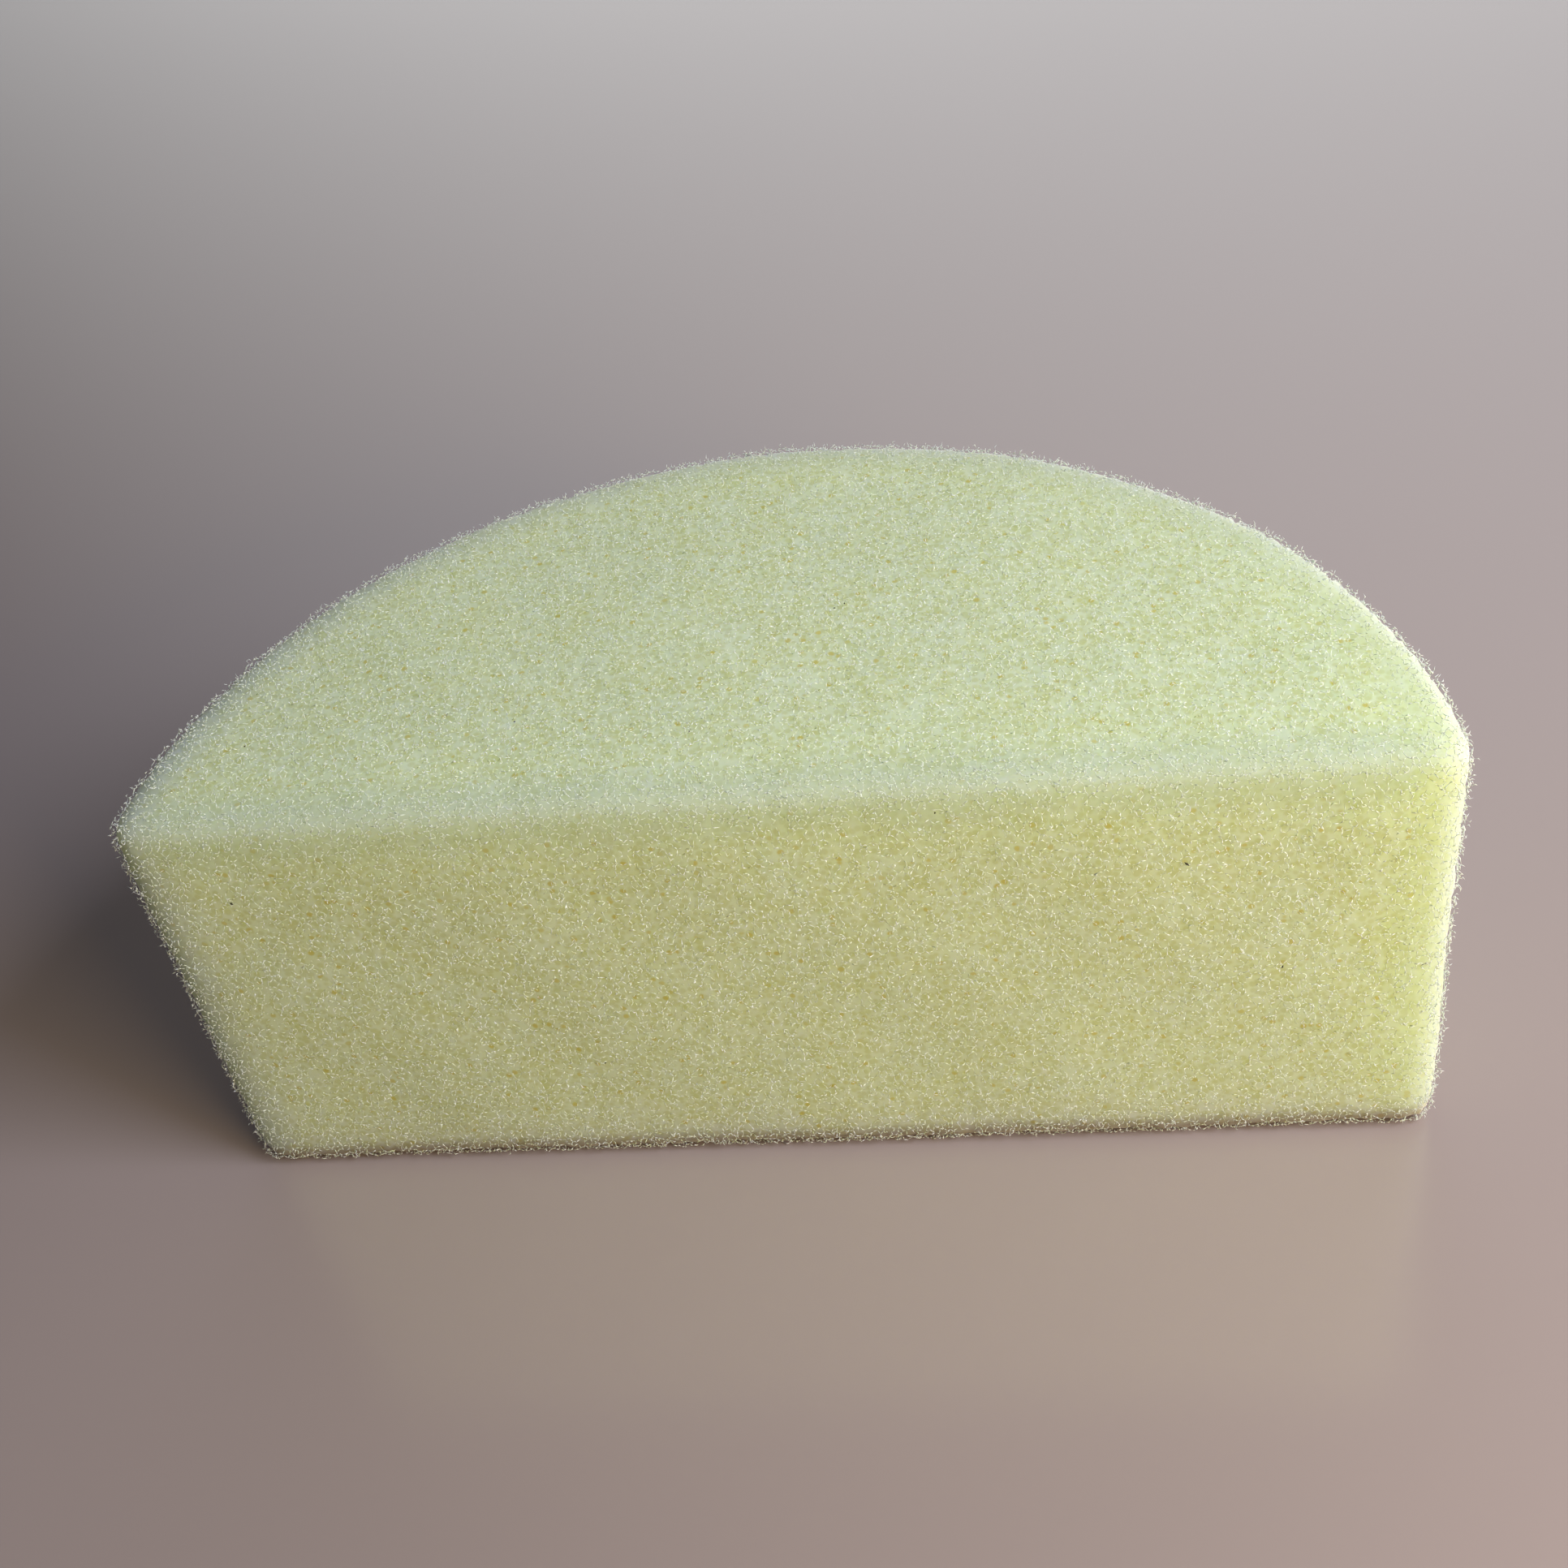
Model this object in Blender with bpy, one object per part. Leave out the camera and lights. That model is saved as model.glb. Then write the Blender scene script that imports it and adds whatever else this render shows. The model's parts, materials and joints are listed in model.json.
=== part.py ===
"""Half-round face painting sponge, one block of fine open-cell foam.

A round is punched from a foam slab and sliced straight across beside its centre, so each half is a D:
one curved wall left by the punch, one flat wall left by the knife, and two flat faces that were the
slab's own. Foam gives as it is cut and handled, so no edge stays sharp: the rims of both D faces and
the two upright corners are softly rounded.

Frame: the block stands on a D face. +X runs along the knife cut, +Y points from the cut to the middle
of the curved wall, +Z is up, and the origin lies at the centre of the footprint's bounding box.
"""

import math

import bmesh
import bpy

MM = 0.001

# Driving dimensions
ROUND_DIAMETER = 76.0 * MM       # foam round that the half is sliced from
SLAB_THICKNESS = 30.0 * MM       # slab that the round is punched from
KNIFE_OFFSET = 1.0 * MM          # how far past the round's centre the knife passes
RIM_SOFTNESS = 1.0 * MM          # radius along the rims of both D faces
CORNER_SOFTNESS = 1.6 * MM       # radius of the two upright corners, where wall meets cut

# Facets
WALL_STEPS = 72                  # along the curved wall
CORNER_STEPS = 6                 # round each upright corner
RIM_STEPS = 5                    # over each rim
TIGHTEST_CORNER = 0.05 * MM      # what a rim leaves of a corner that is tighter than itself
SHARP_ANGLE = math.radians(40.0)

# Foam, pale butter yellow and fully matt
FOAM_COLOUR = (0.74, 0.75, 0.36, 1.0)
FOAM_ROUGHNESS = 0.95
FOAM_METALLIC = 0.0


def arc(centre_x, centre_y, radius, first_angle, last_angle, steps):
    """Points along a circular arc, both ends included."""
    points = []
    for step in range(steps + 1):
        angle = first_angle + (last_angle - first_angle) * step / steps
        points.append((centre_x + radius * math.cos(angle), centre_y + radius * math.sin(angle)))
    return points


def d_outline(inset):
    """The D drawn in from its true outline by inset, counter-clockwise, the round's centre at (0, 0).

    Each corner arc touches the knife cut and the curved wall, so its centre lies one corner radius
    inside both.
    """
    wall_radius = ROUND_DIAMETER / 2.0 - inset
    cut_y = KNIFE_OFFSET + inset
    corner_radius = max(CORNER_SOFTNESS - inset, TIGHTEST_CORNER)
    corner_y = cut_y + corner_radius
    corner_x = math.sqrt((wall_radius - corner_radius) ** 2 - corner_y ** 2)
    wall_start = math.atan2(corner_y, corner_x)
    wall_end = math.pi - wall_start

    wall = arc(0.0, 0.0, wall_radius, wall_start, wall_end, WALL_STEPS)
    left = arc(-corner_x, corner_y, corner_radius, wall_end, 1.5 * math.pi, CORNER_STEPS)
    right = arc(corner_x, corner_y, corner_radius, -0.5 * math.pi, wall_start, CORNER_STEPS)
    return wall + left[1:] + right[:-1]


def side_profile():
    """Inset and height of each ring from the lower rim to the upper one."""
    lower = arc(RIM_SOFTNESS, RIM_SOFTNESS, RIM_SOFTNESS, 1.5 * math.pi, math.pi, RIM_STEPS)
    upper = [(inset, SLAB_THICKNESS - height) for inset, height in reversed(lower)]
    return lower + upper


def foam_block():
    """The rings of the profile joined into one closed skin, with a flat D face at each end."""
    block = bmesh.new()
    middle_y = (KNIFE_OFFSET + ROUND_DIAMETER / 2.0) / 2.0
    rings = []
    for inset, height in side_profile():
        ring = [block.verts.new((x, y - middle_y, height)) for x, y in d_outline(inset)]
        rings.append(ring)

    block.faces.new(reversed(rings[0]))
    block.faces.new(rings[-1])
    for lower, upper in zip(rings, rings[1:]):
        for index in range(len(lower)):
            after = (index + 1) % len(lower)
            block.faces.new((lower[index], lower[after], upper[after], upper[index]))
    bmesh.ops.recalc_face_normals(block, faces=block.faces)
    return block


def foam_material():
    """Fine open-cell polyurethane foam, faintly yellow right through."""
    material = bpy.data.materials.new("polyurethane_foam")
    material.use_nodes = True
    shader = material.node_tree.nodes["Principled BSDF"]
    shader.inputs["Base Color"].default_value = FOAM_COLOUR
    shader.inputs["Roughness"].default_value = FOAM_ROUGHNESS
    shader.inputs["Metallic"].default_value = FOAM_METALLIC
    return material


def half_round_sponge():
    """The finished half of the round."""
    mesh = bpy.data.meshes.new("half_round_sponge")
    block = foam_block()
    block.to_mesh(mesh)
    block.free()
    mesh.shade_smooth()
    mesh.set_sharp_from_angle(angle=SHARP_ANGLE)
    mesh.materials.append(foam_material())
    sponge = bpy.data.objects.new("half_round_sponge", mesh)
    bpy.context.scene.collection.objects.link(sponge)
    return sponge


for leftover in list(bpy.data.objects):
    bpy.data.objects.remove(leftover, do_unlink=True)

half_round_sponge()
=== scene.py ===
"""Looks of the half-round face painting sponge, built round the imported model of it.

The block is open-cell polyurethane foam. Its inside is one soft, light-scattering body. Over that lie
the cells that the punch and the knife cut open: a net of fine struts on every face and, on all but the
underside, the loose ends that fray the outline.
"""

import json
import math

import bpy
import numpy as np
from mathutils import Matrix, Vector
from mathutils.geometry import delaunay_2d_cdt

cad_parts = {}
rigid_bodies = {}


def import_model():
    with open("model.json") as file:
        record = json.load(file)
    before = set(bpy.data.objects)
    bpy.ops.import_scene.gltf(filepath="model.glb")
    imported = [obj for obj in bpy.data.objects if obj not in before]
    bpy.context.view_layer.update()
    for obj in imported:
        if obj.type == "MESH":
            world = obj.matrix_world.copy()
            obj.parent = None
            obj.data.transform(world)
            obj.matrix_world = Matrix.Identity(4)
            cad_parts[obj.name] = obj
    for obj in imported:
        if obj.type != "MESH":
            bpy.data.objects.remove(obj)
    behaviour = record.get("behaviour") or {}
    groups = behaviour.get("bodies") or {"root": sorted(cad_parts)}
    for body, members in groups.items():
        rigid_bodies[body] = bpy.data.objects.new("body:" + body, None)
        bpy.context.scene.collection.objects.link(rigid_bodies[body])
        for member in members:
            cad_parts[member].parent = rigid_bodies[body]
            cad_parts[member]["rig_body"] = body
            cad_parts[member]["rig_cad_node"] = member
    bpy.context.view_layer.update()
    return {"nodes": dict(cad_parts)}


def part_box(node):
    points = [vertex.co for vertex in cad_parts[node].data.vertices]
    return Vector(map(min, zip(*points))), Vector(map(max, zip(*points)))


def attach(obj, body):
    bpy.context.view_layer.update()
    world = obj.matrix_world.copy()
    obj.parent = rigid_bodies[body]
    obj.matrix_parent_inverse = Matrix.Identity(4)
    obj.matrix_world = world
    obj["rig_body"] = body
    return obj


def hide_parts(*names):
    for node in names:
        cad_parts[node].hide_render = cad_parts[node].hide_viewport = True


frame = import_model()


# The block's inside. It is half of a foam round, 76 mm across and 30 mm thick, punched from a slab and
# sliced 1 mm beside its centre. Polyurethane foam is yellow right through and lets light in for some
# millimetres, so it glows in the middle of a face; its paling towards every edge, where light passes
# through little foam, is a painted glow mixed into its colour.
MM = 0.001
ROUND_RADIUS = 38.0 * MM
CORNER_SOFTNESS = 1.6 * MM
RIM_SOFTNESS = 1.0 * MM
CELL_DEPTH = 0.20 * MM           # how deep the cut cells lie open
CLOSED_BELOW = 0.8               # share of that depth that is closed where the block rests
LOWER_GAP = 0.30 * MM            # how much deeper cells lie open on the sides, just above the table
LOWER_REACH = 1.8 * MM           # how far up from the table that goes
RAGGEDNESS = 0.07 * MM           # how far the inside juts and dips from cell to cell
WAVE_HEIGHT = 0.10 * MM          # a soft block is never quite flat
BODY_VOXEL = 0.45 * MM
SMOOTHING_STEPS = 10
# The paling near the edges is painted light, a glow of light through thin foam mixed into the colour.
EDGE_REACH_MM = 4.5              # how far from an edge foam looks paler, in mm as the shaders read it
EDGE_PALENESS = 0.8              # how much of the pale colour there is at the very edge

block_low, block_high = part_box("half_round_sponge")
cut_y = block_low.y
round_y = block_high.y - ROUND_RADIUS
corner_y = cut_y + CORNER_SOFTNESS
corner_x = math.sqrt((ROUND_RADIUS - CORNER_SOFTNESS) ** 2 - (corner_y - round_y) ** 2)
wall_start = math.atan2(corner_y - round_y, corner_x)
cut_length = 2.0 * corner_x
corner_length = CORNER_SOFTNESS * (math.pi / 2 + wall_start)
wall_length = ROUND_RADIUS * (math.pi - 2.0 * wall_start)
side_height = block_high.z - block_low.z - 2.0 * RIM_SOFTNESS
rim_length = RIM_SOFTNESS * math.pi / 2


def outline(along):
    """Place and outward direction on the D's outline, at distances from the left end of the cut."""
    right = cut_length
    wall = right + corner_length
    left = wall + wall_length
    stretch = [along < right, along < wall, along < left]
    turn = np.select(
        stretch,
        [
            np.full_like(along, -math.pi / 2),
            -math.pi / 2 + (along - right) / CORNER_SOFTNESS,
            wall_start + (along - wall) / ROUND_RADIUS,
        ],
        math.pi - wall_start + (along - left) / CORNER_SOFTNESS,
    )
    middle_x = np.select(stretch, [along - corner_x, corner_x, 0.0], -corner_x)
    middle_y = np.select(stretch, [corner_y, corner_y, round_y], corner_y)
    radius = np.select(stretch, [CORNER_SOFTNESS, CORNER_SOFTNESS, ROUND_RADIUS], CORNER_SOFTNESS)
    facing = np.stack([np.cos(turn), np.sin(turn)], 1)
    return np.stack([middle_x, middle_y], 1) + radius[:, None] * facing, facing


def side_sheet(along, up):
    """Place and outward direction on the upright side, which takes in both rims: up is 0 above the lower."""
    place, facing = outline(np.mod(along, cut_length + wall_length + 2.0 * corner_length))
    tilt = np.clip((up - side_height) / RIM_SOFTNESS, 0.0, math.pi / 2)
    tilt -= np.clip(-up / RIM_SOFTNESS, 0.0, math.pi / 2)
    inset = RIM_SOFTNESS * (1.0 - np.cos(tilt))
    height = block_low.z + RIM_SOFTNESS * (1.0 + np.sin(tilt)) + np.clip(up, 0.0, side_height)
    places = np.column_stack([place - inset[:, None] * facing, height])
    return places, np.column_stack([facing * np.cos(tilt)[:, None], np.sin(tilt)])


def waves(places):
    """How far the surface stands proud, from -1 to 1, in gentle swells some 10 to 30 mm long."""
    x, y, z = places.T / MM
    swell = np.sin(x / 4.9 + 0.6 * np.sin(y / 3.7)) * np.sin(z / 3.1 + x / 7.7 + 1.3)
    ripple = np.sin(y / 2.3 + z / 4.3 + 0.8 * np.sin(x / 1.9))
    return 0.65 * swell + 0.35 * ripple


def edge_distance(places):
    """How far each point lies from the nearest edge that light reaches, so not from the lower rims.

    That is the second smallest of its distances to the wall, the cut and the top.
    """
    x, y, z = places.T
    to_wall = ROUND_RADIUS - np.hypot(x, y - round_y)
    to_cut = y - cut_y
    to_top = block_high.z - z
    ranked = np.sort(np.stack([to_wall, to_cut, to_top]), axis=0)
    return np.clip(ranked[1], 0.0, None)


def mesh_object(name, places, faces, material, tones=None, sheet=None):
    """A piece from arrays that stops at the table, with each point's distance from the block's edges.

    Struts also have a tone each, and their place on the flat sheet of their face as a UV map.
    """
    places = np.column_stack([places[:, :2], np.maximum(places[:, 2], block_low.z)])
    mesh = bpy.data.meshes.new(name)
    mesh.vertices.add(len(places))
    mesh.vertices.foreach_set("co", np.ascontiguousarray(places, np.float32).ravel())
    mesh.loops.add(faces.size)
    mesh.loops.foreach_set("vertex_index", np.ascontiguousarray(faces, np.int32).ravel())
    mesh.polygons.add(len(faces))
    mesh.polygons.foreach_set("loop_start", np.arange(0, faces.size, faces.shape[1], dtype=np.int32))
    mesh.update(calc_edges=True)
    edge = mesh.attributes.new("edge_distance_mm", "FLOAT", "POINT")
    edge.data.foreach_set("value", (edge_distance(places) / MM).astype(np.float32))
    if tones is not None:
        tone = mesh.attributes.new("tone", "FLOAT", "POINT")
        tone.data.foreach_set("value", tones.astype(np.float32))
    if sheet is not None:
        flat = mesh.uv_layers.new(name="OFBake")
        flat.data.foreach_set("uv", sheet[faces.ravel()].astype(np.float32).ravel())
    mesh.materials.append(material)
    made = bpy.data.objects.new(name, mesh)
    bpy.context.scene.collection.objects.link(made)
    return made


def colour(hex_code):
    """Linear colour of an sRGB hex code."""
    levels = [int(hex_code[i:i + 2], 16) / 255 for i in (1, 3, 5)]
    return [v / 12.92 if v <= 0.04045 else ((v + 0.055) / 1.055) ** 2.4 for v in levels] + [1.0]


def add_node(tree, kind, inputs=None, stops=None, **settings):
    """Adds a node: its settings, the stops of its ramp, and each input as a value or a link."""
    made = tree.nodes.new(kind)
    for name, value in settings.items():
        setattr(made, name, value)
    for name, value in (inputs or {}).items():
        if isinstance(value, bpy.types.NodeSocket):
            tree.links.new(value, made.inputs[name])
        else:
            made.inputs[name].default_value = value
    for index, (position, shade) in enumerate(stops or ()):
        ramp = made.color_ramp.elements
        stop = ramp[index] if index < 2 else ramp.new(position)
        stop.position = position
        stop.color = colour(shade)
    return made


def clouds(tree, place, tone, deep, pale):
    """Mixes in the soft patches, 1 to 3 mm wide, where the foam is yellower or paler than elsewhere."""
    patch_size = 2.2 * MM
    strength = 0.12
    patches = add_node(
        tree, "ShaderNodeTexNoise", {"Vector": place, "Scale": 1 / patch_size, "Detail": 3.0},
    )
    share = add_node(
        tree, "ShaderNodeMapRange",
        {"Value": patches.outputs["Fac"], "From Min": 0.35, "From Max": 0.65, "To Min": 0.0, "To Max": 1.0},
    )
    patch = add_node(
        tree, "ShaderNodeMix", {"Factor": share.outputs["Result"], "A": colour(deep), "B": colour(pale)},
        data_type="RGBA",
    )
    mixed = add_node(
        tree, "ShaderNodeMix", {"Factor": strength, "A": tone, "B": patch.outputs["Result"]},
        data_type="RGBA",
    )
    return mixed.outputs["Result"]


def paled_at_edges(tree, tone, pale):
    """Mixes a colour towards a pale one near the block's edges: a painted glow of the light that passes
    through little foam there.
    """
    edge = add_node(tree, "ShaderNodeAttribute", attribute_name="edge_distance_mm")
    thin = add_node(
        tree, "ShaderNodeMapRange",
        {"Value": edge.outputs["Fac"], "From Min": 0.0, "From Max": EDGE_REACH_MM,
         "To Min": EDGE_PALENESS, "To Max": 0.0},
        interpolation_type="SMOOTHSTEP",
    )
    paled = add_node(
        tree, "ShaderNodeMix", {"Factor": thin.outputs["Result"], "A": tone, "B": colour(pale)},
        data_type="RGBA",
    )
    return paled.outputs["Result"]


def foam_body_material():
    """Polyurethane foam below its cut cells: matt, deep yellow between paler struts, pale at the edges as a
    painted glow of light through thin foam, and brown just above the table as painted shade.
    """
    material = bpy.data.materials.new("polyurethane_foam_below_the_cut")
    material.use_nodes = True
    tree = material.node_tree
    shader = tree.nodes["Principled BSDF"]
    place = add_node(tree, "ShaderNodeTexCoord").outputs["Object"]

    # Cells 0.45 mm across, as deep ones show through the open ones
    cell_size = 0.45 * MM
    cells = add_node(tree, "ShaderNodeTexVoronoi", {"Vector": place, "Scale": 1 / cell_size})
    struts = add_node(
        tree, "ShaderNodeValToRGB", {"Fac": cells.outputs["Distance"]},
        stops=[(0.35, "#bcc697"), (0.62, "#c8d4b4")],
    )

    # Here and there a cell lies open deeper and shows the foam's full yellow
    inside = add_node(
        tree, "ShaderNodeMapRange",
        {"Value": cells.outputs["Distance"], "From Min": 0.30, "From Max": 0.50,
         "To Min": 1.0, "To Max": 0.0},
    )
    lot = add_node(tree, "ShaderNodeSeparateColor", {"Color": cells.outputs["Color"]})
    drawn = add_node(
        tree, "ShaderNodeMapRange",
        {"Value": lot.outputs["Red"], "From Min": 0.92, "From Max": 0.97, "To Min": 0.0, "To Max": 0.8},
    )
    depth = add_node(
        tree, "ShaderNodeMath", {0: inside.outputs["Result"], 1: drawn.outputs["Result"]},
        operation="MULTIPLY",
    )
    opened = add_node(
        tree, "ShaderNodeMix",
        {"Factor": depth.outputs["Value"], "A": struts.outputs["Color"], "B": colour("#b9b052")},
        data_type="RGBA",
    )
    clouded = clouds(tree, place, opened.outputs["Result"], "#b7bb69", "#c4d5cc")
    # Painted glow: paler towards the edges, where light passes through little foam
    paled = paled_at_edges(tree, clouded, "#a8b7a9")

    # Just above the table the colour is painted brown between the struts: painted shade in the low cells,
    # warmed by light cast back from the table.
    low_shade_full_to, low_shade_gone_from = 0.3 * MM, 2.0 * MM
    height = add_node(tree, "ShaderNodeSeparateXYZ", {"Vector": place})
    painted_low_shade = add_node(
        tree, "ShaderNodeMapRange",
        {"Value": height.outputs["Z"], "From Min": low_shade_full_to, "From Max": low_shade_gone_from,
         "To Min": 0.95, "To Max": 0.0},
    )
    low_shaded = add_node(
        tree, "ShaderNodeMix", {"Factor": painted_low_shade.outputs["Result"], "A": paled, "B": colour("#86695a")},
        data_type="RGBA",
    )
    tree.links.new(low_shaded.outputs["Result"], shader.inputs["Base Color"])
    shader.inputs["Roughness"].default_value = 0.9
    shader.inputs["Specular IOR Level"].default_value = 0.2
    shader.inputs["Subsurface Weight"].default_value = 1.0
    shader.inputs["Subsurface Radius"].default_value = (1.0, 1.0, 0.45)
    shader.inputs["Subsurface Scale"].default_value = 10.0 * MM
    return material


def foam_body():
    """The block's inside, remeshed from its solid and drawn in by the depth of the open cells."""
    body = frame["nodes"]["half_round_sponge"].copy()
    body.data = body.data.copy()
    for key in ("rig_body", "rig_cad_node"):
        del body[key]
    bpy.context.scene.collection.objects.link(body)
    remesh = body.modifiers.new("even_faces", "REMESH")
    remesh.mode = "VOXEL"
    remesh.voxel_size = BODY_VOXEL
    smooth = body.modifiers.new("smooth", "SMOOTH")
    smooth.factor = 0.5
    smooth.iterations = SMOOTHING_STEPS
    graph = bpy.context.evaluated_depsgraph_get()
    evaluated = body.evaluated_get(graph).to_mesh()
    places = np.empty(len(evaluated.vertices) * 3, np.float32)
    evaluated.vertices.foreach_get("co", places)
    places = places.reshape(-1, 3).astype(float)
    normals = np.empty(len(evaluated.vertices) * 3, np.float32)
    evaluated.vertices.foreach_get("normal", normals)
    normals = normals.reshape(-1, 3)
    faces = np.empty(len(evaluated.loops), np.int32)
    evaluated.loops.foreach_get("vertex_index", faces)
    bpy.data.objects.remove(body)
    ragged = RAGGEDNESS * np.random.default_rng(10).uniform(-1.0, 1.0, len(places))
    resting = np.clip(-normals[:, 2], 0.0, 1.0)
    lowness = np.clip(1.0 - (places[:, 2] - block_low.z) / LOWER_REACH, 0.0, 1.0)
    depth = CELL_DEPTH * (1.0 - CLOSED_BELOW * resting) + LOWER_GAP * lowness * (1.0 - resting)
    places = places + normals * (WAVE_HEIGHT * waves(places) + ragged - depth)[:, None]
    made = mesh_object("foam_body", places, faces.reshape(-1, 4), foam_body_material())
    made.data.shade_smooth()
    return made


body = foam_body()
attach(body, "root")
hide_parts("half_round_sponge")


# The cut cells. Foam cells are many-sided bubbles whose walls burst as the foam rises and leave only
# struts where three walls met. A knife opens each cell that it passes, so a cut face is a net of
# struts at uneven depth, from which single cut ends stand up.
TOP_CELL = 0.45 * MM
CUT_CELL = 0.42 * MM
WALL_CELL = 0.55 * MM            # coarser here and below, to keep the struts few
UNDERSIDE_CELL = 0.68 * MM
RISE = 1.3                       # how much taller than wide cells stand, as the foam rose that way
STRUT_RADIUS = 0.040 * MM        # at its thickest
STRUT_POINTS = 5                 # its two ends and a ring of three in the middle
SHAKE = 0.42                     # of a cell, so that no row of cells shows
ODD_CELLS = 0.05                 # share that burst into a neighbour
NET_DEPTH = 0.28 * MM            # from the meetings on the face to the deepest ones
DEPTH_POWER = 1.4                # above 1, more meetings lie near the face than deep
STRUT_OVERLAP = 0.08             # of its length, by which a strut runs on past each meeting
STRUT_BEND = 0.25                # of its length, by which a strut bows out at most
CUT_AWAY = 0.22                  # share of the net's struts that the blade took
# A strut's tone carries painted light: struts deep in the net are painted darker, as shade, and a share are
# painted brighter as glints.
TONE_ON_FACE = 0.48              # 0 is the deep colour of a strut and 1 the bright one
DEEP_STRUT_SHADE = 0.5                  # how much deeper that is at the net's full depth
TONE_SPREAD = 0.12
PAINTED_GLINT_SHARE = 0.17                    # share of struts that turn a bright side to the light
PAINTED_GLINT_RISE = 0.55                # how much brighter those are
LOOSE_LENGTH = 0.42 * MM         # the longest end that the blade left standing
LOOSE_BEND = 0.5
LOOSE_OUTWARD = 0.7              # how much loose ends point out of the face, against
LOOSE_SPREAD = 0.9               # how much they point any way
LOOSE_SHARE = 0.35               # of the meetings carry a loose end
FRINGE_WIDTH = 1.5 * MM          # beside the edges, where more ends stand free
FRINGE_SHARE = 0.75


def cell_middles(low, high, cell, rise, random):
    """Middles of the cells on a flat sheet: staggered rows, shaken, with some cells merged."""
    row_gap = rise * cell * math.sqrt(3) / 2
    rows = int((high[1] - low[1]) / row_gap) + 1
    columns = int((high[0] - low[0]) / cell) + 1
    row, column = np.mgrid[0:rows, 0:columns]
    across = low[0] + (column + 0.5 * (row % 2)) * cell
    upward = low[1] + row * row_gap
    middles = np.stack([across.ravel(), upward.ravel()], 1)
    swing = random.uniform(0.0, 2.0 * math.pi, len(middles))
    reach = SHAKE * cell * np.sqrt(random.uniform(0.0, 1.0, len(middles)))
    middles += np.stack([np.cos(swing), rise * np.sin(swing)], 1) * reach[:, None]
    return middles[random.uniform(0.0, 1.0, len(middles)) > ODD_CELLS]


def cell_net(middles):
    """Where struts meet, and which meeting points each strut joins, round cells with these middles."""
    same_place = 1e-9
    sheet = delaunay_2d_cdt([Vector(middle) for middle in middles], [], [], 0, same_place, False)
    places = np.array([tuple(place) for place in sheet[0]])
    triangles = np.array(sheet[2])
    meetings = places[triangles].mean(1)
    sides = np.sort(triangles[:, [[0, 1], [1, 2], [2, 0]]], axis=2).reshape(-1, 2)
    owners = np.repeat(np.arange(len(triangles)), 3)
    order = np.lexsort(sides.T)
    shared = (sides[order][1:] == sides[order][:-1]).all(1)
    struts = np.stack([owners[order][:-1][shared], owners[order][1:][shared]], 1)
    return meetings, struts


def strut_mesh(starts, ends, radius, bend, random):
    """Closed three-sided struts, thickest at their bend in the middle and pointed at both ends."""
    along = ends - starts
    length = np.linalg.norm(along, axis=1)[:, None]
    along /= length
    aside = np.cross(along, random.normal(size=along.shape))
    aside /= np.linalg.norm(aside, axis=1)[:, None]
    across = np.cross(along, aside)
    middle = starts + (ends - starts) * random.uniform(0.35, 0.65, len(starts))[:, None]
    middle += aside * length * random.uniform(0.4 * bend, bend, len(starts))[:, None]
    ring = []
    for corner in range(3):
        turn = 2.0 * math.pi * corner / 3
        ring.append(middle + radius[:, None] * (math.cos(turn) * aside + math.sin(turn) * across))
    places = np.stack([starts, ends] + ring, 1).reshape(-1, 3)
    one = np.array([[0, 3, 2], [0, 4, 3], [0, 2, 4], [1, 2, 3], [1, 3, 4], [1, 4, 2]])
    faces = (np.arange(len(starts))[:, None, None] * STRUT_POINTS + one).reshape(-1, 3)
    return places, faces


def strut_sheet(starts, ends, low, high):
    """Where struts lie on their face's flat sheet, from 0 to 1, each spread to a patch of some width."""
    patch = 0.07 * MM
    middle = (starts + ends) / 2
    ring = []
    for corner in range(3):
        turn = 2.0 * math.pi * corner / 3
        ring.append(middle + patch * np.array([math.cos(turn), math.sin(turn)]))
    flat = np.stack([starts, ends] + ring, 1).reshape(-1, 2)
    return np.clip((flat - low) / (np.array(high) - low), 0.0, 1.0)


def foam_strut_material():
    """Polyurethane foam struts: smooth, faintly shiny, pale where they stand free and painted darker, as
    shade, where they lie deep in the net, a few with painted glints, whiter at the edges as a painted glow
    of light through thin foam.
    """
    material = bpy.data.materials.new("polyurethane_foam_struts")
    material.use_nodes = True
    tree = material.node_tree
    shader = tree.nodes["Principled BSDF"]
    place = add_node(tree, "ShaderNodeTexCoord").outputs["Object"]
    strut = add_node(tree, "ShaderNodeAttribute", attribute_name="tone")
    tone = add_node(
        tree, "ShaderNodeValToRGB", {"Fac": strut.outputs["Fac"]},
        stops=[(0.0, "#a7b38f"), (0.5, "#cddbc9"), (1.0, "#f2fdff")],
    )
    clouded = clouds(tree, place, tone.outputs["Color"], "#c4ca91", "#d0e1e1")
    # Painted glow: paler towards the edges, where light passes through little foam
    paled = paled_at_edges(tree, clouded, "#c9d8cb")
    tree.links.new(paled, shader.inputs["Base Color"])
    shader.inputs["Subsurface Weight"].default_value = 1.0
    shader.inputs["Subsurface Radius"].default_value = (1.0, 1.0, 0.8)
    shader.inputs["Subsurface Scale"].default_value = 0.15 * MM
    shader.inputs["Roughness"].default_value = 0.35
    return material


strut_material = foam_strut_material()


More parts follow.
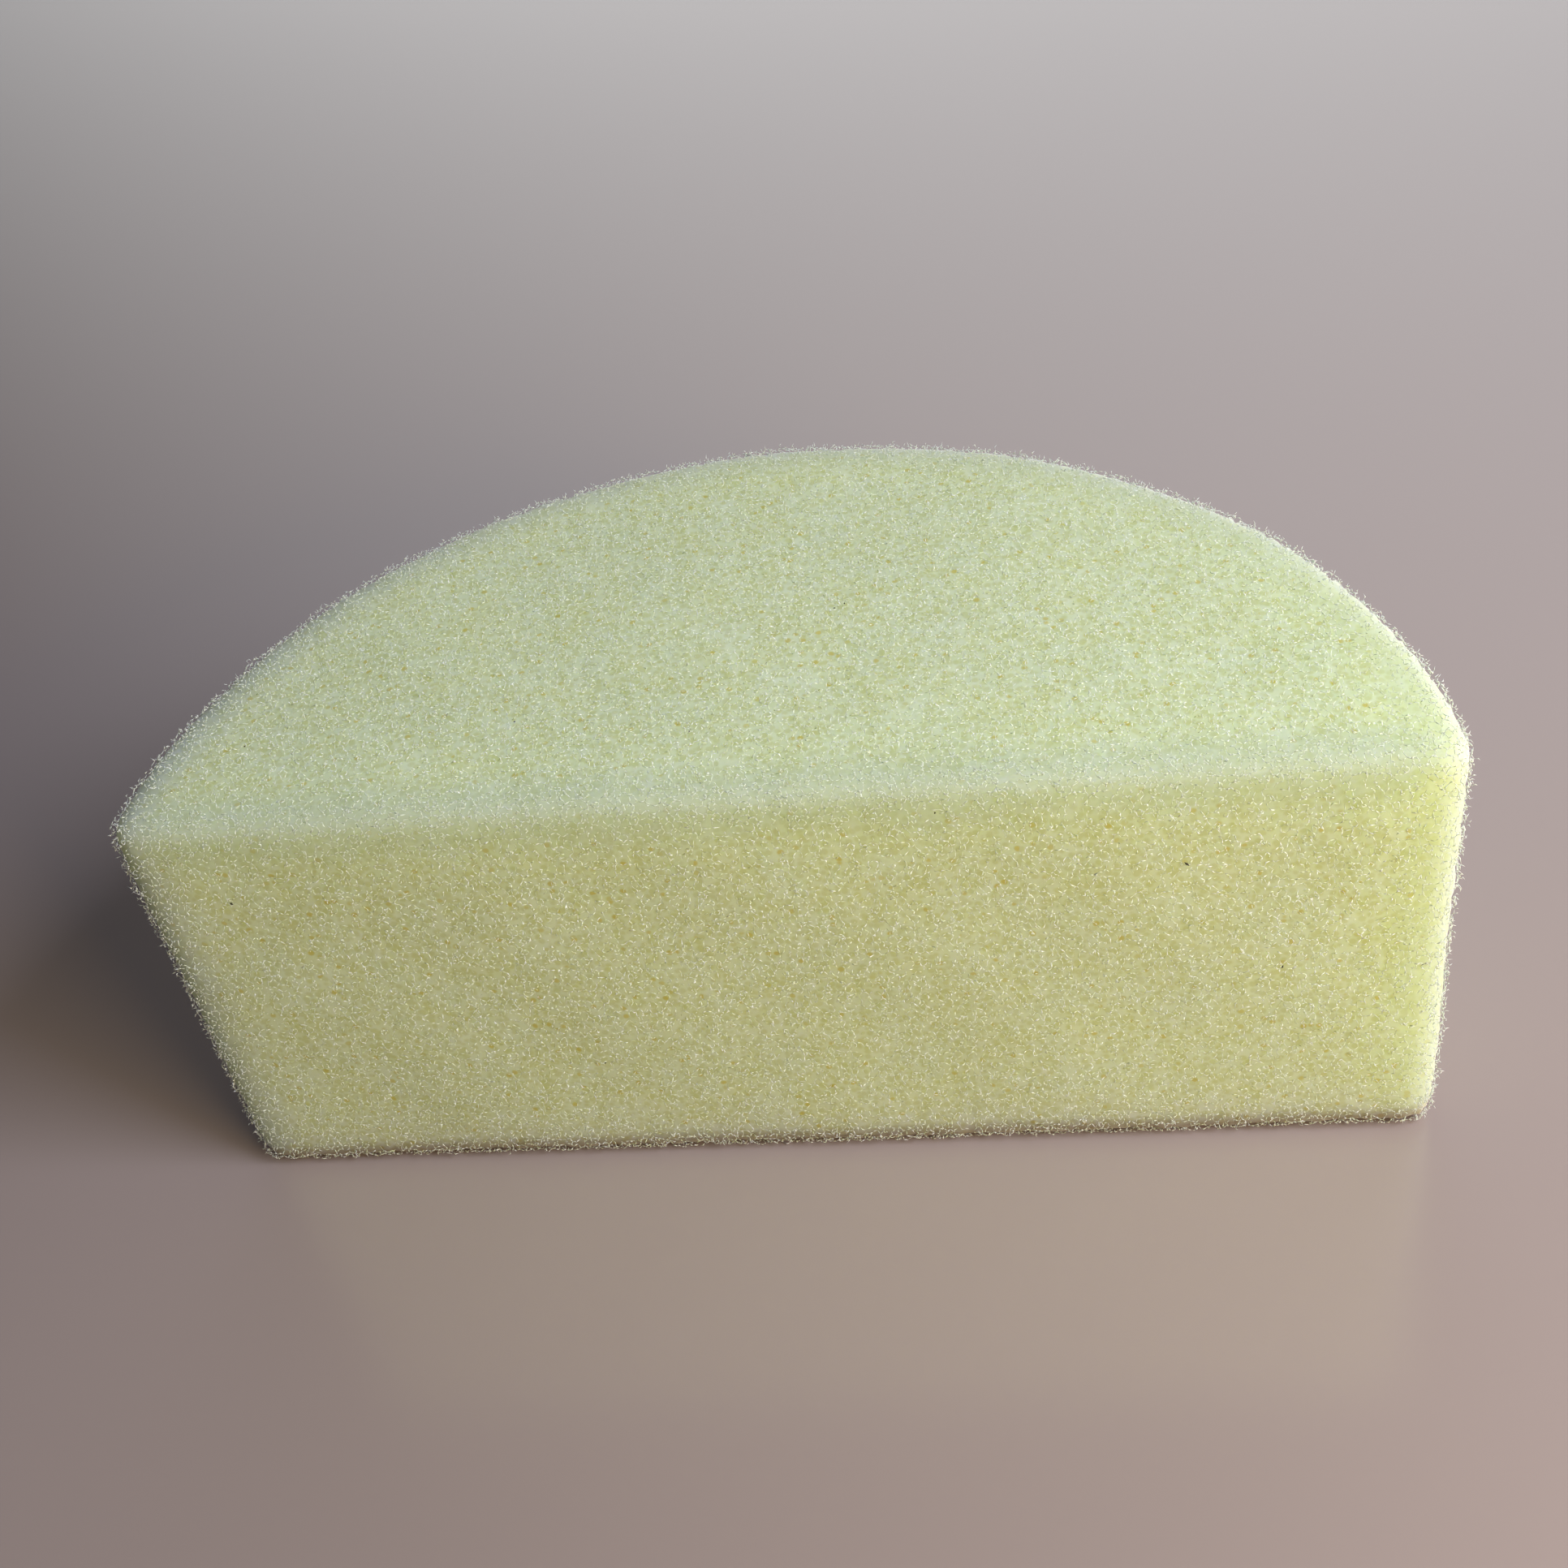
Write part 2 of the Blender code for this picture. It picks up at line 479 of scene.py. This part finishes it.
def cut_face(name, low, high, cell, rise, sheet, kept, seed):
    """The net of one face and, unless it lies on the table, the cut ends that stand out from it."""
    random = np.random.default_rng(seed)
    meetings, struts = cell_net(cell_middles(low, high, cell, rise, random))
    inside = kept(meetings)
    struts = struts[inside[struts].all(1)]
    struts = struts[random.uniform(0.0, 1.0, len(struts)) > CUT_AWAY]
    places, facing = sheet(meetings[:, 0], meetings[:, 1])
    sunk = random.uniform(0.0, 1.0, len(places)) ** DEPTH_POWER
    swell = WAVE_HEIGHT * waves(places)
    places = places + facing * (swell - NET_DEPTH * sunk)[:, None]

    starts, ends = places[struts[:, 0]], places[struts[:, 1]]
    overlap = STRUT_OVERLAP * (ends - starts)
    radius = STRUT_RADIUS * random.uniform(0.6, 1.2, len(starts))
    # Painted shade on the deep struts, and painted glints on a few
    tones = TONE_ON_FACE - DEEP_STRUT_SHADE * sunk[struts].mean(1)
    tones += random.normal(0.0, TONE_SPREAD, len(starts))
    tones += PAINTED_GLINT_RISE * (random.uniform(0.0, 1.0, len(starts)) < PAINTED_GLINT_SHARE)
    pieces = [mesh_object(
        name + "_cells", *strut_mesh(starts - overlap, ends + overlap, radius, STRUT_BEND, random),
        strut_material, np.repeat(tones, STRUT_POINTS),
        strut_sheet(meetings[struts[:, 0]], meetings[struts[:, 1]], low, high),
    )]

    steepest_down = -0.3
    roots = np.flatnonzero(inside & (facing[:, 2] > steepest_down))
    if len(roots):
        at_edge = edge_distance(places[roots]) < FRINGE_WIDTH
        share = np.where(at_edge, FRINGE_SHARE, LOOSE_SHARE)
        roots = roots[random.uniform(0.0, 1.0, len(roots)) < share]
        lean = LOOSE_SPREAD * random.normal(size=(len(roots), 3))
        way = LOOSE_OUTWARD * facing[roots] + lean
        way /= np.linalg.norm(way, axis=1)[:, None]
        ends = places[roots] + way * LOOSE_LENGTH * random.uniform(0.45, 1.0, len(roots))[:, None]
        radius = STRUT_RADIUS * random.uniform(0.6, 1.0, len(roots))
        tones = random.uniform(0.3, 1.2, len(roots))
        flat = meetings[roots]
        flat_reach = 0.15 * MM * lean[:, :2]
        pieces.append(mesh_object(
            name + "_loose_ends", *strut_mesh(places[roots], ends, radius, LOOSE_BEND, random),
            strut_material, np.repeat(tones, STRUT_POINTS),
            strut_sheet(flat, flat + flat_reach, low, high),
        ))
    for piece in pieces:
        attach(piece, "root")


def flat_top(x, y):
    """Places and outward directions on the upper D face."""
    places = np.column_stack([x, y, np.full_like(x, block_high.z)])
    return places, np.tile([0.0, 0.0, 1.0], (len(x), 1))


def flat_underside(x, y):
    """Places and outward directions on the D face that lies on the table."""
    places = np.column_stack([x, y, np.full_like(x, block_low.z)])
    return places, np.tile([0.0, 0.0, -1.0], (len(x), 1))


def within_rim(meetings):
    """Whether points lie on the flat of a D face, a little way onto its rim included."""
    rim_left_out = 0.8 * RIM_SOFTNESS
    x, y = meetings.T
    return (np.hypot(x, y - round_y) < ROUND_RADIUS - rim_left_out) & (y > cut_y + rim_left_out)


def within_sheet(first, last):
    """A test for points on the upright side and most of both rims, between two places on the outline."""
    def kept(meetings):
        along, up = meetings.T
        over_rim = 0.9 * rim_length
        on_side = (up > -over_rim) & (up < side_height + over_rim)
        return on_side & (along > first) & (along < last)
    return kept


margin = 3.0 * UNDERSIDE_CELL    # nets start beyond their face, so that none ends ragged on it
flat_low = (block_low.x - margin, block_low.y - margin)
flat_high = (block_high.x + margin, block_high.y + margin)
cut_face("top", flat_low, flat_high, TOP_CELL, 1.0, flat_top, within_rim, seed=11)
cut_face("underside", flat_low, flat_high, UNDERSIDE_CELL, 1.0, flat_underside, within_rim, seed=12)

half_corner = corner_length / 2
cut_first, cut_last = -half_corner, cut_length + half_corner
wall_last = cut_last + wall_length + corner_length
sheet_low, sheet_high = -rim_length - margin, side_height + rim_length + margin
cut_face(
    "cut", (cut_first - margin, sheet_low), (cut_last + margin, sheet_high), CUT_CELL, RISE,
    side_sheet, within_sheet(cut_first, cut_last), seed=13,
)
cut_face(
    "wall", (cut_last - margin, sheet_low), (wall_last + margin, sheet_high), WALL_CELL, RISE,
    side_sheet, within_sheet(cut_last, wall_last), seed=14,
)


# Dirt. A few dark grains and one short fibre have caught between the struts of the cut and of the top,
# each where the photograph shows it.
CUT_SPECKS = [                   # across the cut, up it, length and thickness in mm, and lean in radians
    (-31.7, 24.3, 0.28, 0.16, -0.7),
    (23.0, 23.5, 0.44, 0.16, -0.8),
    (28.3, 15.1, 0.28, 0.14, 1.2),
    (9.7, 28.2, 0.18, 0.13, 1.4),
    (-12.4, 9.2, 0.16, 0.12, 0.3),
]
TOP_SPECKS = [                   # across the top, back on it, length, thickness and lean
    (-31.1, -11.3, 0.17, 0.12, 0.9),
    (-14.7, -10.7, 0.18, 0.12, -0.4),
    (4.2, -1.2, 0.18, 0.12, 1.5),
    (3.6, -1.6, 0.14, 0.11, 0.2),
    (-4.1, -12.7, 0.15, 0.11, -1.1),
]
SPECK_RISE = 0.15 * MM           # how far a speck's middle stands out of the face
SPECK_BEND = 0.15                # of its length


def grit_material():
    """Household dust: matt, earth brown, nearly black where it is thick."""
    material = bpy.data.materials.new("household_dust_grit")
    material.use_nodes = True
    tree = material.node_tree
    shader = tree.nodes["Principled BSDF"]
    place = add_node(tree, "ShaderNodeTexCoord").outputs["Object"]
    grain_size = 0.08 * MM
    grains = add_node(tree, "ShaderNodeTexNoise", {"Vector": place, "Scale": 1 / grain_size})
    tone = add_node(
        tree, "ShaderNodeValToRGB", {"Fac": grains.outputs["Fac"]},
        stops=[(0.35, "#1b180b"), (0.65, "#423d22")],
    )
    tree.links.new(tone.outputs["Color"], shader.inputs["Base Color"])
    shader.inputs["Roughness"].default_value = 0.85
    return material


def specks():
    """All grains and the fibre as one piece of short bent slivers, on the swells of the faces."""
    right, back, up = Vector((1.0, 0.0, 0.0)), Vector((0.0, 1.0, 0.0)), Vector((0.0, 0.0, 1.0))
    strewn = [
        (CUT_SPECKS, Vector((0.0, cut_y, block_low.z)), up, -back),
        (TOP_SPECKS, Vector((0.0, 0.0, block_high.z)), back, up),
    ]
    starts, ends, radii = [], [], []
    for specks_on_face, origin, away, facing in strewn:
        for across, distance, length, thickness, lean in specks_on_face:
            middle = origin + (across * right + distance * away) * MM
            middle += facing * (SPECK_RISE + WAVE_HEIGHT * waves(np.array([middle]))[0])
            reach = (math.cos(lean) * right + math.sin(lean) * away) * length * MM / 2
            starts.append(middle - reach)
            ends.append(middle + reach)
            radii.append(thickness * MM / 2)
    places, faces = strut_mesh(
        np.array(starts), np.array(ends), np.array(radii), SPECK_BEND, np.random.default_rng(15)
    )
    made = mesh_object("dust_specks", places, faces, grit_material())
    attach(made, "root")


specks()


# The stage: a plain, faintly shiny table top that takes the block's shadow, a cool lamp high on the right
# as from a window, a warm one lower in front of it, and a sky that is bright low down behind.
def table_top():
    """A plain painted top, pale and faintly warm."""
    material = bpy.data.materials.new("painted_table_top")
    material.use_nodes = True
    shader = material.node_tree.nodes["Principled BSDF"]
    shader.inputs["Base Color"].default_value = colour("#95898a")
    shader.inputs["Roughness"].default_value = 0.22
    shader.inputs["Specular IOR Level"].default_value = 0.9
    half_width = 1.5
    corners = [
        (-half_width, -half_width, 0.0), (half_width, -half_width, 0.0),
        (half_width, half_width, 0.0), (-half_width, half_width, 0.0),
    ]
    mesh = bpy.data.meshes.new("table_top")
    mesh.from_pydata(corners, [], [(0, 1, 2, 3)])
    mesh.materials.append(material)
    made = bpy.data.objects.new("table_top", mesh)
    bpy.context.scene.collection.objects.link(made)


table_top()


LAMP_TARGET = Vector((0.0, 0.0, 20.0)) * MM


def lamp(name, place, size, power, shade):
    """A square soft lamp that faces the block."""
    light = bpy.data.lights.new(name, "AREA")
    light.shape = "SQUARE"
    light.size = size
    light.energy = power
    light.color = colour(shade)[:3]
    made = bpy.data.objects.new(name, light)
    made.location = place
    made.rotation_euler = (LAMP_TARGET - Vector(place)).to_track_quat("-Z", "Y").to_euler()
    bpy.context.scene.collection.objects.link(made)


lamp("right_side", place=(0.19, -0.08, 0.20), size=0.12, power=0.84, shade="#f3f7ff")
lamp("front_side", place=(0.14, -0.16, 0.10), size=0.08, power=0.39, shade="#ffe5b1")


def low_sky():
    """A white sky that is bright low down behind the block, where the far table top mirrors it."""
    brightest_way = Vector((0.1, 1.0, 0.02)).normalized()
    dim, bright = 0.05, 2.0
    sky = bpy.data.worlds.new("low_sky")
    sky.use_nodes = True
    tree = sky.node_tree
    direction = add_node(tree, "ShaderNodeTexCoord").outputs["Generated"]
    facing = add_node(
        tree, "ShaderNodeVectorMath", {0: direction, 1: brightest_way}, operation="DOT_PRODUCT",
    )
    level = add_node(
        tree, "ShaderNodeMapRange",
        {"Value": facing.outputs["Value"], "From Min": 0.65, "From Max": 0.95,
         "To Min": dim, "To Max": bright},
    )
    background = tree.nodes["Background"]
    background.inputs["Color"].default_value = colour("#ffffff")
    tree.links.new(level.outputs["Result"], background.inputs["Strength"])
    bpy.context.scene.world = sky


low_sky()


# The camera, placed as in the photograph: close, a little right of the middle and looking down, with
# the frame turned anticlockwise.
CAMERA_YAW = math.radians(10.83)
CAMERA_PITCH = math.radians(39.80)
CAMERA_ROLL = math.radians(-10.47)
CAMERA_DISTANCE = 103.9 * MM
CAMERA_TARGET = Vector((1.67, -17.67, 30.1)) * MM
SENSOR = 36.0                    # in mm, as the lens
LENS = 44.0


def photograph_camera():
    """A camera with the photograph's place, turn and angle of view."""
    back = Vector((
        math.sin(CAMERA_YAW) * math.cos(CAMERA_PITCH),
        -math.cos(CAMERA_YAW) * math.cos(CAMERA_PITCH),
        math.sin(CAMERA_PITCH),
    ))
    level = Vector((0.0, 0.0, 1.0)).cross(back).normalized()
    rise = back.cross(level)
    right = math.cos(CAMERA_ROLL) * level + math.sin(CAMERA_ROLL) * rise
    above = -math.sin(CAMERA_ROLL) * level + math.cos(CAMERA_ROLL) * rise
    camera = bpy.data.cameras.new("camera")
    camera.sensor_width = SENSOR
    camera.lens = LENS
    camera.clip_start = 1.0 * MM
    made = bpy.data.objects.new("camera", camera)
    turned = Matrix((right, above, back)).transposed().to_4x4()
    made.matrix_world = Matrix.Translation(CAMERA_TARGET + back * CAMERA_DISTANCE) @ turned
    bpy.context.scene.collection.objects.link(made)
    bpy.context.scene.camera = made


photograph_camera()
bpy.context.scene.view_settings.view_transform = "Standard"
